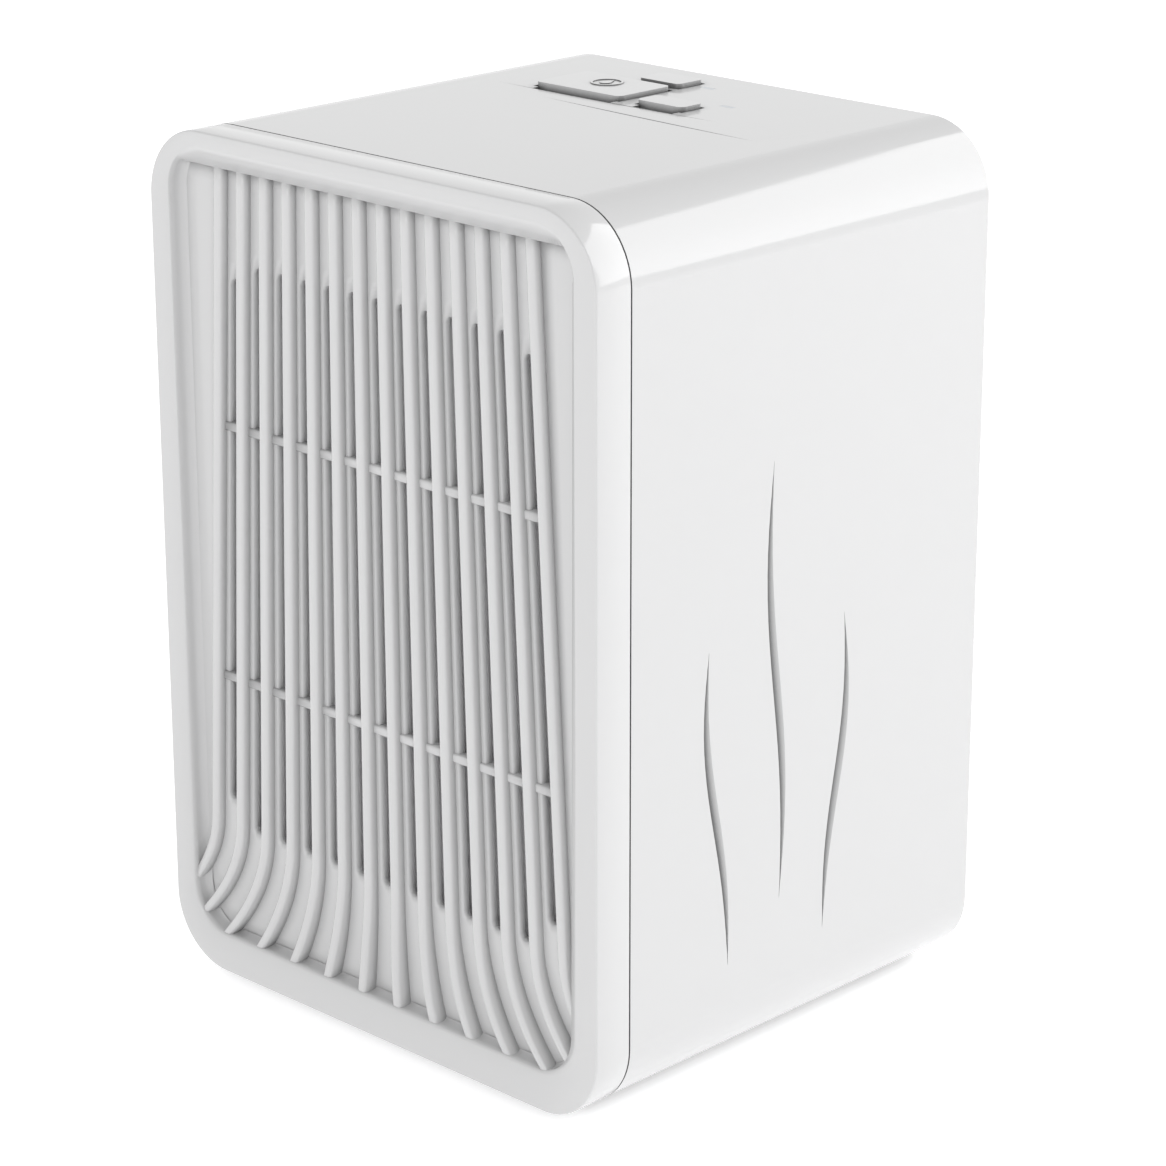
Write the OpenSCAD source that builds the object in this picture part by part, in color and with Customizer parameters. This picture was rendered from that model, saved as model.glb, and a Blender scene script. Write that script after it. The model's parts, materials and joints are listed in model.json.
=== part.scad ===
// Desktop thermoelectric dehumidifier, built as separate pieces.
// Frame: +Z up, front grille towards -Y, water tank drawn out towards +Y.
// Origin: on the ground, under the middle of the housing.

/* [Housing] */
// Width of the housing
body_w = 150; // [140:1:190]
// Depth of the housing, front bezel to rear rim
body_d = 136; // [132:1:176]
// Height of the housing without its feet
body_h = 218; // [210:1:280]
// Outer radius of the four long edges
corner_r = 18; // [16:0.5:22]
// Wall of the housing sleeve
wall = 2.4; // [2:0.1:3]
// Depth of the front bezel, front face to seam
bezel_d = 11.2; // [10.6:0.2:14]
// Rounding of the bezel's front edge
bezel_round = 0.6; // [0.4:0.1:1.5]
// Open line between bezel and sleeve
seam_gap = 0.3; // [0.2:0.05:0.5]

/* [Grille opening] */
// Bezel band at the left and right
band_side = 6.7; // [6:0.1:9]
// Bezel band at the top
band_top = 3.8; // [3:0.1:6]
// Height of the sloped band above the fins
slope_h = 4.6; // [3:0.1:8]
// Bezel band at the bottom
band_bottom = 10; // [9:0.1:14]
// Corner radius of the opening
opening_r = 12; // [9:0.5:14]
// Number of grille fins
fin_count = 14; // [8:1:14]
// Thickness of a fin
fin_w = 3; // [2.4:0.1:3.4]
// Pitch of the fins at their top
fin_pitch = 8.07; // [7.6:0.01:8.6]
// Growth of the pitch for each millimetre down
fin_spread = 0.0084; // [0:0.0002:0.009]
// Height at which the fins start to curve outwards
fin_bend_z = 40; // [30:1:50]
// Strength of that outward curve
fin_bend = 0.0033; // [0:0.0001:0.004]
// Fin fronts behind the bezel's front face
fin_inset = 2; // [1.5:0.1:3]
// Trough floor behind the bezel's front face
dish_depth = 4.4; // [4:0.1:5.5]
// Thickness of the grille's back plate
dish_t = 2; // [1.5:0.1:2.5]
// Width of an air slot
slot_w = 3.4; // [2.6:0.1:4]
// Height of a cross bar
bar_h = 2.2; // [1.6:0.1:3]

/* [Side grooves] */
// Depth of a decorative groove
groove_depth = 1.3; // [0.8:0.1:1.5]
// Greatest width of a side groove
groove_w = 3.6; // [2:0.1:5]

/* [Keys] */
// Key tops above the housing top
key_rise = 1.2; // [0.8:0.1:2]
// Gap round a key
key_gap = 0.35; // [0.25:0.05:0.6]
// Depth of the finger scoop in front of a key
scoop_depth = 1.3; // [0.8:0.1:1.5]

/* [Cooling stack] */
// Side of the square fan
fan_size = 80; // [80:1:92]
// Depth of the fan
fan_depth = 25; // [20:1:25]
// Distance between fan screws
fan_screw_pitch = 71.5; // [71.5:0.5:82.5]
// Height of the fan's axis above the housing bottom
fan_axis_h = 153; // [153:1:156]
// Side of the thermoelectric module
module_size = 40; // [30:1:40]
// Thickness of the module
module_t = 3.8; // [3:0.1:4.7]
// Height of the cold sink's fins
cold_fin_l = 20; // [14:1:22]
// Height of the hot sink's fins
hot_fin_l = 30; // [20:1:30]

/* [Water tank] */
// Width of the tank
tank_w = 112; // [100:1:118]
// Length of the tank
tank_l = 82; // [70:1:84]
// Height of the tank without its lid
tank_h = 76; // [60:1:76]
// Wall of the tank
tank_wall = 1.8; // [1.5:0.1:2.5]
// Clearance all round the tank in its bay
tank_gap = 1; // [0.6:0.1:1.5]
// Rise of the float
float_rise = 14; // [8:1:16]

/* [Feet and fasteners] */
// Height of a rubber foot under the housing
foot_h = 2; // [1.5:0.5:4]
// Radius of a foot
foot_r = 7; // [5:0.5:9]
// Radius of the rear cover screws
screw_r = 1.5; // [1.25:0.25:1.75]
// Pin of the power inlet
inlet_pin_r = 1.05; // [0.9:0.05:1.25]
// Barrel opening of the power inlet
inlet_bore_r = 3.2; // [3:0.1:3.4]

/* [Hidden] */
$fn = 64;

// Housing planes
y_front = -body_d / 2;
y_rear = body_d / 2;
z_low = foot_h;
z_top = foot_h + body_h;
z_mid = (z_low + z_top) / 2;
y_seam = y_front + bezel_d;
fit = 0.15;            // clearance between mating mouldings
eps = 0.05;            // overshoot of a cutter past a face

// Grille opening
open_w = body_w - 2 * band_side;
open_lo = z_low + band_bottom;
open_hi = z_top - band_top;
open_h = open_hi - open_lo;
open_z = (open_hi + open_lo) / 2;
dish_y = y_front + dish_depth;
slot_hi = z_low + 186.4;
slot_lo = z_low + 39;
bar_z = [z_low + 144.9, z_low + 79.4];
fin_steps = 22;

// Rear cover
cover_t = 2.5;
cover_inset = 0.8;
rim_t = 1.2;           // sleeve wall left round the cover
cover_back = y_rear - cover_inset;
cover_front = cover_back - cover_t;
boss_r = 4.2;
boss_l = 14;
boss_x = body_w / 2 - corner_r + (corner_r - wall - 3) * cos(45);
boss_dz = body_h / 2 - corner_r + (corner_r - wall - 3) * cos(45);
screw_head_r = 2.8;
screw_head_t = 1.2;
screw_l = 10;

// Water tank and its bay
bay_wall = 1.8;
bay_floor = z_low + wall + 0.2;
tank_z = bay_floor + bay_wall + 0.8;
lid_t = 2;
lid_skirt = 4;
panel_t = 2.9;
tank_back = cover_back - panel_t - 9.2;
tank_front = tank_back - tank_l;
lid_z = tank_z + tank_h;
deck_z = lid_z + lid_t + 6;
deck_t = 2;
deck_top = deck_z + deck_t;
bay_x = tank_w / 2 + tank_gap;
bay_front = tank_front - tank_gap;
bay_back = cover_back - panel_t - 0.5;
hatch_w = tank_w + 4.4;
hatch_lo = bay_floor + bay_wall;
hatch_hi = deck_z - 1;
panel_gap = 0.6;
pull_w = 46;
pull_h = 20;
pull_d = 10;
pull_z = (hatch_lo + hatch_hi) / 2 + 12;
window_x = tank_w / 2 - 14;
window_w = 6;
window_h = 52;
window_z = (hatch_lo + hatch_hi) / 2;
drip_y = tank_front + 14;
drip_r = 7;

// Float on two guide pins under the lid
side_x = tank_w / 2 - 22;  // float at the left, pour hole at the right, this far from the middle
float_x = -side_x;
float_y = tank_back - 18;
float_l = 32;
float_w = 16;
float_t = 9;
float_pin_r = 1.6;
float_pin_dx = 11;
float_top_gap = 3;
float_z = lid_z - float_top_gap - float_rise - float_t;
pin_head_r = 3;
pin_head_t = 1.5;

// Cooling stack along Y, from the bulkhead outwards
stack_z = z_low + fan_axis_h;
bulk_t = 2.5;
hot_face = -17;
bulk_y = hot_face - bulk_t;
cold_face = hot_face - module_t;
cold_base_t = 4.5;
hot_base_t = 5;
cold_w = 60;
cold_h = 70;
sink_fin_t = 1.2;
cold_fins = 13;
hot_fins = 15;
hot_back = hot_face + hot_base_t + hot_fin_l;
fan_y = hot_back + 1;
fan_back = fan_y + fan_depth;
fan_bore_r = fan_size / 2 - 2;
rotor_r = fan_bore_r - 1;
hub_r = 17;
blade_count = 7;
shaft_r = 1.5;
bearing_r = 3.5;
duct_t = 1.6;
clamp_x = 25;
bolt_r = 1.5;
bolt_head_r = 2.75;

// Keys: [left, right, front, back] in plan
power_box = [-38, -9, 27.2, 46];
timer_box = [-22.8, -9, 48.7, 58.2];
mode_box = [-3.8, 11.4, 27.8, 35.6];
key_boxes = [power_box, timer_box, mode_box];
key_r = 1.6;
key_skirt = 5;         // key depth under the housing top
key_flange = 1.2;      // retaining flange round the key's foot
flange_t = 1;
scoop_l = 2.6;
lens_spots = [[-4.2, 54.7], [14.8, 40.7]];
lens_w = 4;
lens_l = 1.6;
board_z = z_top - 15.6;
board_t = 1.6;
switch_h = 4.3;
switch_w = 6;
plunger_r = 1.7;
plunger_up = z_top - key_skirt - 0.9;

// Power board, along the right wall
pboard_x = body_w / 2 - wall - 8;
pboard_t = 1.6;
inlet_x = pboard_x - 6.5;
inlet_z = deck_top + 12;
inlet_l = 12;

opening_chamfer_w = 0.85;
led_h = 1.2;
cove_r = 2;
trough_hi = open_hi - slope_h;
tongue_l = 5;
tongue_t = 1.6;
foot_in = 0.8;
filter_y = dish_y + dish_t + 0.4;
filter_t = 2;
filter_w = 132;
filter_h = 160;
filter_z = (slot_lo + slot_hi) / 2;
exhaust_r = 36;
exhaust_pitch = 6;
exhaust_slot = 3;
head_sink = 1.3;
inlet_nose_r = 4.2;
inlet_back = cover_front - 0.3;
duct_end = cover_front - fit;
hot_w = 62;
hot_h = 74;
bolt_y = cold_face - cold_base_t - 0.6;
fan_screw_r = 1.75;
tray_w = 70;
tray_h = 14;
channel_w = 16;
channel_h = 7;
tray_y0 = cold_face - cold_base_t - cold_fin_l - 3;
tray_y1 = bulk_y - 0.5;
spout_z = lid_z + lid_t + 2.6;
tank_r = 6;
drip_hole_r = 9;
pour_x = side_x;
pour_y = tank_back - 24;
pour_r = 9;
pb_y0 = -10;
pb_y1 = 58;
pb_z0 = deck_top + 4;
pb_z1 = stack_z + 20;
lead_sockets = [[0, stack_z - 6], [28, stack_z - 24], [42, stack_z + 12], [6, deck_top + 12]];

function lerp(a, b, t) = a + (b - a) * t;
function key_mid(b) = [(b[0] + b[1]) / 2, (b[2] + b[3]) / 2];
// Fin pitch at a height, and the line across the grille of fin or gap number k
function pitch_at(z) = fin_pitch + fin_spread * (z_top - 10 - z)
    + fin_bend * pow(max(0, z_low + fin_bend_z - z), 2);
function fin_x(k, z) = (k - (fin_count - 1) / 2) * pitch_at(z);
// Heights are closer together where the fins curve
function rise(i, n, lo, hi) = lo + (hi - lo) * pow(i / n, 1.6);

// A strip of constant width along fin line k
module strip(k, lo, hi, w) {
    zs = [for (i = [0 : fin_steps]) rise(i, fin_steps, lo, hi)];
    polygon(concat(
        [for (z = zs) [fin_x(k, z) - w / 2, z]],
        [for (i = [fin_steps : -1 : 0]) [fin_x(k, zs[i]) + w / 2, zs[i]]]
    ));
}

// Rounded rectangle of true arcs, centred
module round_rect(w, h, r) {
    square([w - 2 * r, h], center = true);
    square([w, h - 2 * r], center = true);
    for (sx = [-1, 1], sy = [-1, 1])
        translate([sx * (w / 2 - r), sy * (h / 2 - r)]) circle(r);
}

// Extrudes an X-Z outline between two depths
module along_y(y0, y1) {
    translate([0, y1, 0]) rotate([90, 0, 0]) linear_extrude(y1 - y0) children();
}

// Box given by its two corners
module block(a, b) { translate(a) cube(b - a); }

// Cylinder along +Y
module rod_y(x, y0, y1, z, r) {
    translate([x, y0, z]) rotate([-90, 0, 0]) cylinder(h = y1 - y0, r = r);
}

// The housing's outline, moved in by inset
module outline(inset) {
    translate([0, z_mid]) round_rect(body_w - 2 * inset, body_h - 2 * inset, corner_r - inset);
}

// The grille opening's outline, moved in by inset
module opening_outline(inset) {
    translate([0, open_z]) round_rect(open_w - 2 * inset, open_h - 2 * inset, opening_r - inset);
}

// Ring between two insets of the outline
module ring(out, in, y0, y1) {
    difference() {
        along_y(y0, y1) outline(out);
        along_y(y0 - 1, y1 + 1) outline(in);
    }
}

// Rounded slab along Y whose edges at y0 are rounded by e
module pillow(w, h, r, e, y0, y1) {
    along_y(y0 + e, y1) round_rect(w, h, r);
    along_y(y0, y0 + e + eps) round_rect(w - 2 * e, h - 2 * e, r - e);
    for (s = [-1, 1]) {
        translate([-(w / 2 - r), y0 + e, s * (h / 2 - e)]) rotate([0, 90, 0]) cylinder(h = w - 2 * r, r = e);
        translate([s * (w / 2 - e), y0 + e, -(h / 2 - r)]) cylinder(h = h - 2 * r, r = e);
    }
    for (a = [0 : 90 : 270], sx = [a == 0 || a == 270 ? 1 : -1], sz = [a < 180 ? 1 : -1])
        translate([sx * (w / 2 - r), y0 + e, sz * (h / 2 - r)]) rotate([90, 0, 0])
            rotate([0, 0, a]) rotate_extrude(angle = 90) translate([r - e, 0]) circle(e);
}

// Tapered V groove: points along a line in the u-v plane, cut to negative w.
// line = [u0, v0, u1, v1, swing, bow]; it is widest in its middle.
function groove_u(l, t) = lerp(l[0], l[2], t) + l[4] * sin(360 * t) + l[5] * sin(180 * t);
module groove(line, width, depth) {
    n = 20;
    lift = 0.4;
    pts = [for (i = [0 : n]) let (
            t = i / n,
            s = max(0.06, pow(sin(180 * t), 0.75)),
            u = groove_u(line, t), v = lerp(line[1], line[3], t))
        each [[u - width * s / 2, v, lift], [u + width * s / 2, v, lift],
              [u - 0.06 * width * s, v, -depth * s]]];
    faces = concat(
        [[0, 1, 2]], [[3 * n + 2, 3 * n + 1, 3 * n]],
        [for (i = [0 : n - 1], j = [0 : 2]) let (a = 3 * i + j, b = 3 * i + (j + 1) % 3)
            each [[a, b + 3, b], [a, a + 3, b + 3]]]);
    polyhedron(pts, faces);
}

// [u0, v0, u1, v1, swing, bow] on the side walls (y, z) and on the top (x, y)
side_grooves = [
    [-22.9, 30.5, -30.6, 111.6, 1.5, -1.3],
    [-4.7, 42.3, -8.8, 152.9, 1.8, 0],
    [11.6, 29.4, 17.4, 109.7, -1.5, 1.9]
];
top_grooves = [[25.3, -25.2, 24.7, 48.5, 0, -0.6], [14.9, -47.5, 18.6, 27.2, 0, -0.4]];

module all_grooves() {
    for (l = side_grooves, s = [0, 1]) mirror([s, 0, 0])
        translate([body_w / 2, 0, 0]) rotate([90, 0, 90]) groove(l, groove_w, groove_depth);
    for (l = top_grooves)
        translate([0, 0, z_top]) rotate([0, 0, 90]) groove(l, 1, 0.6);
}

// ---------- housing ----------

// Sleeve that makes the top, sides and bottom of the housing
module body_shell() {
    color([0.93, 0.93, 0.94])
    difference() {
        union() {
            difference() {
                along_y(y_seam + seam_gap / 2, y_rear) outline(0);
                along_y(y_seam - 1, y_rear + 1) outline(wall);
                along_y(cover_front - fit, y_rear + 1) outline(rim_t);
            }
            screw_spots() rod_y(0, cover_front - fit - boss_l, cover_front - fit, 0, boss_r);
        }
        screw_spots() rod_y(0, cover_front - fit - boss_l + 2, cover_front + 1, 0, screw_r - 0.05);
        key_windows();
        lens_windows();
        foot_spots() translate([0, 0, z_low - 1]) cylinder(h = 1 + foot_in, r = foot_r + 0.05);
        all_grooves();
    }
}

module screw_spots() {
    for (sx = [-1, 1], sz = [-1, 1]) translate([sx * boss_x, 0, z_mid + sz * boss_dz]) children();
}

module panel_board_spots() {
    for (p = [[-46.5, 23], [-46.5, 61], [25, 23], [25, 61]]) translate([p[0], p[1], 0]) children();
}

module power_board_spots() {
    for (y = [pb_y0 + 4, pb_y1 - 10], z = [pb_z0 + 4, pb_z1 - 4]) translate([0, y, z]) children();
}

module key_windows() {
    for (b = key_boxes)
        block([b[0] - key_gap, b[2] - key_gap, z_top - wall - 1],
            [b[1] + key_gap, b[3] + key_gap, z_top + 1]);
    for (b = [power_box, mode_box])
        block([b[0] + 1.5, b[2] - key_gap - scoop_l, z_top - scoop_depth],
            [b[1] - 0.5, b[2] - key_gap + eps, z_top + 1]);
}

module lens_windows() {
    for (p = lens_spots)
        translate([p[0], p[1], z_top - wall - 1])
            linear_extrude(wall + 2) square([lens_w + 0.1, lens_l + 0.1], center = true);
}

module foot_spots() {
    for (sx = [-1, 1], sy = [-1, 1])
        translate([sx * (body_w / 2 - corner_r - 6), sy * (body_d / 2 - 24) + 4, 0]) children();
}

module rubber_feet() {
    color([0.3, 0.3, 0.31])
    foot_spots() {
        cylinder(h = 0.6, r1 = foot_r - 0.6, r2 = foot_r);
        translate([0, 0, 0.6]) cylinder(h = foot_h + foot_in - 0.6, r = foot_r);
    }
}

// Shallow space in front of the fins, sloped at its top
module fin_front_space() {
    intersection() {
        along_y(y_front - 2, y_front + fin_inset) opening_outline(0);
        translate([-body_w / 2, 0, 0]) rotate([90, 0, 90]) linear_extrude(body_w)
            polygon([[y_front - 2, open_lo - 1], [y_front + fin_inset, open_lo - 1],
                [y_front + fin_inset, trough_hi], [y_front, open_hi], [y_front - 2, open_hi + 4]]);
    }
}

// Deep space between the fins, with coved edges
module trough_space() {
    intersection() {
        mirror([0, 1, 0]) translate([0, 0, (trough_hi + open_lo) / 2])
            pillow(open_w, trough_hi - open_lo, opening_r - 4, cove_r, -dish_y, -y_front + 2);
        along_y(y_front - 2, dish_y + 1) opening_outline(0);
    }
}

// Chamfer of the opening's front edge
module opening_chamfer() {
    c = opening_chamfer_w;
    x = open_w / 2 - opening_r;
    z = open_h / 2 - opening_r;
    translate([0, y_front, open_z]) {
        for (s = [-1, 1]) {
            translate([0, 0, -z]) linear_extrude(2 * z)
                polygon([[0, -c], [s * (open_w / 2 + 2 * c), -c], [s * open_w / 2, c], [0, c]]);
            translate([-x, 0, 0]) rotate([90, 0, 90]) linear_extrude(2 * x)
                polygon([[-c, 0], [-c, s * (open_h / 2 + 2 * c)], [c, s * open_h / 2], [c, 0]]);
        }
        for (sx = [-1, 1], sz = [-1, 1])
            translate([sx * x, -c, sz * z]) rotate([-90, 0, 0])
                cylinder(h = 2 * c, r1 = opening_r + 2 * c, r2 = opening_r);
    }
}

// Front moulding: bezel, fins and cross bars in one piece
module front_panel() {
    color([0.93, 0.93, 0.94]) {
        difference() {
            union() {
                difference() {
                    translate([0, 0, z_mid])
                        pillow(body_w, body_h, corner_r, bezel_round, y_front, y_seam - seam_gap / 2);
                    along_y(dish_y + dish_t, y_seam + 1) outline(wall);
                }
                ring(wall + fit, wall + fit + tongue_t, dish_y + dish_t - eps, y_seam + tongue_l);
            }
            fin_front_space();
            difference() {
                trough_space();
                fins();
            }
            opening_chamfer();
            slots();
        }
        cross_bars();
    }
}

module fins() {
    along_y(y_front + fin_inset, dish_y + 1)
        for (k = [0 : fin_count - 1]) strip(k, open_lo - 2, trough_hi + 1, fin_w);
}

// Air slots between the fins, with round ends
module slots() {
    along_y(y_front + 3, dish_y + dish_t + 1)
        for (k = [0 : fin_count - 2]) slot(k + 0.5);
}

module slot(k) {
    edge = abs(k - (fin_count - 1) / 2) > fin_count / 2 - 1.2;
    lo = slot_lo + (edge ? 7 : 0) + slot_w / 2;
    hi = slot_hi - (edge ? 4 : 0) - slot_w / 2;
    strip(k, lo, hi, slot_w);
    for (z = [lo, hi]) translate([fin_x(k, z), z]) circle(slot_w / 2, $fn = 32);
}

module cross_bars() {
    for (z = bar_z)
        block([-fin_x(fin_count - 1, z), dish_y - 0.6, z - bar_h / 2],
            [fin_x(fin_count - 1, z), dish_y + dish_t, z + bar_h / 2]);
}

// Dust filter behind the grille
module filter_frame() {
    color([0.25, 0.26, 0.28])
    along_y(filter_y, filter_y + filter_t) difference() {
        translate([0, filter_z]) round_rect(filter_w, filter_h, 12);
        for (s = [-1, 0, 1])
            translate([s * (filter_w - 6 + 2) / 3, filter_z])
                square([(filter_w - 6 - 4) / 3, filter_h - 10], center = true);
    }
}

module filter_mesh() {
    color([0.4, 0.41, 0.43])
    translate([-(filter_w - 4) / 2, filter_y + filter_t, filter_z - (filter_h - 8) / 2])
        cube([filter_w - 4, 0.5, filter_h - 8]);
}

// Rear cover with the exhaust grille, the tank opening and the inlet hole
module rear_cover() {
    color([0.92, 0.92, 0.93])
    difference() {
        along_y(cover_front, cover_back) outline(rim_t + fit);
        block([-hatch_w / 2, cover_front - 1, hatch_lo], [hatch_w / 2, cover_back + 1, hatch_hi]);
        along_y(cover_front - 1, cover_back + 1) translate([0, stack_z]) exhaust_slots();
        rod_y(inlet_x, cover_front - 1, cover_back + 1, inlet_z, inlet_nose_r + 0.2);
        screw_spots() {
            rod_y(0, cover_front - 1, cover_back + 1, 0, screw_r + 0.2);
            rod_y(0, cover_back - head_sink, cover_back + 1, 0, screw_head_r + 0.25);
        }
    }
}

module exhaust_slots() {
    n = floor((exhaust_r - 2) / exhaust_pitch);
    for (i = [-n : n]) let (x = i * exhaust_pitch, l = sqrt(pow(exhaust_r, 2) - x * x))
        for (s = [-1, 1]) {
            lo = 1.6;
            if (l > lo + 5) {
                translate([x - exhaust_slot / 2, s > 0 ? lo + exhaust_slot / 2 : -l])
                    square([exhaust_slot, l - lo - exhaust_slot / 2]);
                for (z = [lo + exhaust_slot / 2, l]) translate([x, s * z]) circle(exhaust_slot / 2, $fn = 32);
            }
        }
}

module cover_screws() {
    color([0.7, 0.7, 0.72])
    screw_spots() difference() {
        union() {
            rod_y(0, cover_back - head_sink - screw_l, cover_back - head_sink, 0, screw_r);
            rod_y(0, cover_back - head_sink, cover_back - head_sink + screw_head_t, 0, screw_head_r);
        }
        for (a = [0, 90])
            translate([0, cover_back - head_sink + screw_head_t - 0.8, 0]) rotate([0, a, 0])
                translate([-1.7, 0, -0.35]) cube([3.4, 2, 0.7]);
    }
}

// ---------- control panel ----------

// Key cap with a retaining flange and a stem over its switch
module key_cap(b) {
    m = key_mid(b);
    w = b[1] - b[0];
    d = b[3] - b[2];
    foot = z_top - wall - 0.1 - flange_t;
    difference() {
        union() {
            translate([m[0], m[1], foot]) linear_extrude(z_top + key_rise - foot) round_rect(w, d, key_r);
            translate([m[0], m[1], foot]) linear_extrude(flange_t)
                round_rect(w + 2 * key_flange, d + 2 * key_flange, key_r + key_flange);
        }
        translate([m[0], m[1], foot - 1]) linear_extrude(z_top + key_rise - 1.6 - foot + 1)
            round_rect(w - 2.6, d - 2.6, key_r - 1);
    }
    translate([m[0], m[1], plunger_up]) cylinder(h = z_top - plunger_up, r = 1.9);
}

// The switch's moving stem, under the key
module key_plunger(b) {
    m = key_mid(b);
    translate([m[0], m[1], board_z + board_t + 2.2])
        cylinder(h = plunger_up - board_z - board_t - 2.2, r = plunger_r);
}

// Raised mark on a key: a drop in a ring
module power_mark() {
    m = key_mid(power_box);
    translate([m[0], m[1] + 1.5, z_top + key_rise]) linear_extrude(0.25) {
        difference() {
            circle(4.2);
            circle(3.6);
        }
        translate([0, -0.6]) circle(1.5, $fn = 32);
        polygon([[-1.35, 0.1], [1.35, 0.1], [0, 2.6]]);
    }
}

module power_key() { color([0.94, 0.94, 0.95]) { key_cap(power_box); power_mark(); } }
module mode_key() { color([0.94, 0.94, 0.95]) key_cap(mode_box); }
module timer_key() { color([0.94, 0.94, 0.95]) key_cap(timer_box); }
module power_plunger() { color([0.2, 0.2, 0.2]) key_plunger(power_box); }
module mode_plunger() { color([0.2, 0.2, 0.2]) key_plunger(mode_box); }
module timer_plunger() { color([0.2, 0.2, 0.2]) key_plunger(timer_box); }

module indicator_lenses() {
    color([0.85, 0.88, 0.9])
    for (p = lens_spots) {
        translate([p[0], p[1], board_z + board_t + led_h + 0.4])
            linear_extrude(z_top - board_z - board_t - led_h - 0.4) square([lens_w, lens_l], center = true);
        translate([p[0], p[1], z_top - wall - 1.2])
            linear_extrude(1.2) square([lens_w + 2, lens_l + 2], center = true);
    }
}

module control_board() {
    color([0.1, 0.35, 0.2])
    difference() {
        block([-50, 19.5, board_z], [28.5, 64.5, board_z + board_t]);
        panel_board_spots() translate([0, 0, board_z - 1]) cylinder(h = 4, r = 1.5);
    }
}

module control_switches() {
    color([0.15, 0.15, 0.16])
    for (b = key_boxes) let (m = key_mid(b)) difference() {
        translate([m[0] - switch_w / 2, m[1] - switch_w / 2, board_z + board_t])
            cube([switch_w, switch_w, switch_h]);
        translate([m[0], m[1], board_z + board_t + 1]) cylinder(h = switch_h, r = plunger_r + 0.3);
    }
}

module indicator_leds() {
    color([0.95, 0.95, 0.85])
    for (p = lens_spots)
        translate([p[0], p[1], board_z + board_t]) linear_extrude(led_h) square([3.2, 1.6], center = true);
}

module spacer(l) {
    difference() {
        cylinder(h = l, r = 2.6);
        translate([0, 0, -1]) cylinder(h = 5.6, r = 1);
    }
}

// Posts that hold the two circuit boards off the sleeve
module board_spacers() {
    color([0.8, 0.7, 0.4]) {
        panel_board_spots() translate([0, 0, board_z + board_t]) spacer(z_top - wall - board_z - board_t);
        power_board_spots() translate([pboard_x + pboard_t, 0, 0]) rotate([0, 90, 0])
            spacer(body_w / 2 - wall - pboard_x - pboard_t);
    }
}

module board_screw() {
    translate([0, 0, -1.4]) cylinder(h = 1.4, r = 2.2);
    cylinder(h = board_t + 4, r = 1.05);
}

module board_screws() {
    color([0.7, 0.7, 0.72]) {
        panel_board_spots() translate([0, 0, board_z]) board_screw();
        power_board_spots() translate([pboard_x, 0, 0]) rotate([0, 90, 0]) board_screw();
    }
}

// ---------- cooling stack ----------

// Partition between the cold side and the hot side
module bulkhead() {
    color([0.6, 0.62, 0.65])
    difference() {
        along_y(bulk_y, hot_face) intersection() {
            outline(wall + 0.2);
            translate([-body_w / 2, deck_top]) square([body_w, body_h]);
        }
        block([-module_size / 2 - 0.5, bulk_y - 1, stack_z - module_size / 2 - 0.5],
            [module_size / 2 + 0.5, hot_face + 1, stack_z + module_size / 2 + 0.5]);
        // air passages beside the sinks
        for (s = [-1, 1])
            translate([s * 36.3, 0, stack_z]) block([-2.8, bulk_y - 1, -30], [2.8, hot_face + 1, 30]);
        for (s = [-1, 1]) rod_y(s * clamp_x, bulk_y - 1, hot_face + 1, stack_z, bolt_r + 0.4);
        // way for the drip tray's channel
        block([-channel_w / 2 - 2.2, bulk_y - 1, deck_top - 1],
            [channel_w / 2 + 2.2, hot_face + 1, deck_top + channel_h + 0.6]);
        // channel for the module's leads, and their way to the power side
        block([module_size / 2, bulk_y - 1, stack_z - 9], [34, hot_face + 1, stack_z - 3]);
        block([52, bulk_y - 1, stack_z - 10], [58, hot_face + 1, stack_z - 2]);
    }
}

module cold_sink() {
    color([0.78, 0.79, 0.8])
    difference() {
        union() {
            block([-cold_w / 2, cold_face - cold_base_t, stack_z - cold_h / 2],
                [cold_w / 2, cold_face, stack_z + cold_h / 2]);
            for (i = [0 : cold_fins - 1])
                translate([lerp(-(cold_w - sink_fin_t) / 2, (cold_w - sink_fin_t) / 2, i / (cold_fins - 1)),
                    cold_face - cold_base_t - cold_fin_l, stack_z - cold_h / 2])
                    translate([-sink_fin_t / 2, 0, 0]) cube([sink_fin_t, cold_fin_l + 1, cold_h]);
        }
        for (s = [-1, 1]) {
            rod_y(s * clamp_x, cold_face - 30, cold_face + 1, stack_z, bolt_r + 0.3);
            rod_y(s * clamp_x, cold_face - cold_base_t - cold_fin_l - 1, cold_face - cold_base_t, stack_z, 4.6);
        }
    }
}

module foam_gasket() {
    color([0.2, 0.2, 0.21])
    difference() {
        block([-cold_w / 2 + 1, cold_face, stack_z - cold_h / 2 + 1],
            [cold_w / 2 - 1, bulk_y, stack_z + cold_h / 2 - 1]);
        block([-module_size / 2 - 0.5, cold_face - 1, stack_z - module_size / 2 - 0.5],
            [module_size / 2 + 0.5, bulk_y + 1, stack_z + module_size / 2 + 0.5]);
        block([0, cold_face - 1, stack_z - 9], [40, bulk_y + 1, stack_z - 3]);
        for (s = [-1, 1]) rod_y(s * clamp_x, cold_face - 1, bulk_y + 1, stack_z, bolt_r + 0.4);
    }
}

// Two ceramic plates with the couples between them
module peltier_module() {
    color([0.95, 0.95, 0.93])
    translate([-module_size / 2, cold_face, stack_z - module_size / 2]) {
        cube([module_size, 0.8, module_size]);
        translate([0, module_t - 0.8, 0]) cube([module_size, 0.8, module_size]);
        translate([1.2, 0.7, 1.2]) cube([module_size - 2.4, module_t - 1.4, module_size - 2.4]);
    }
}

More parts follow.
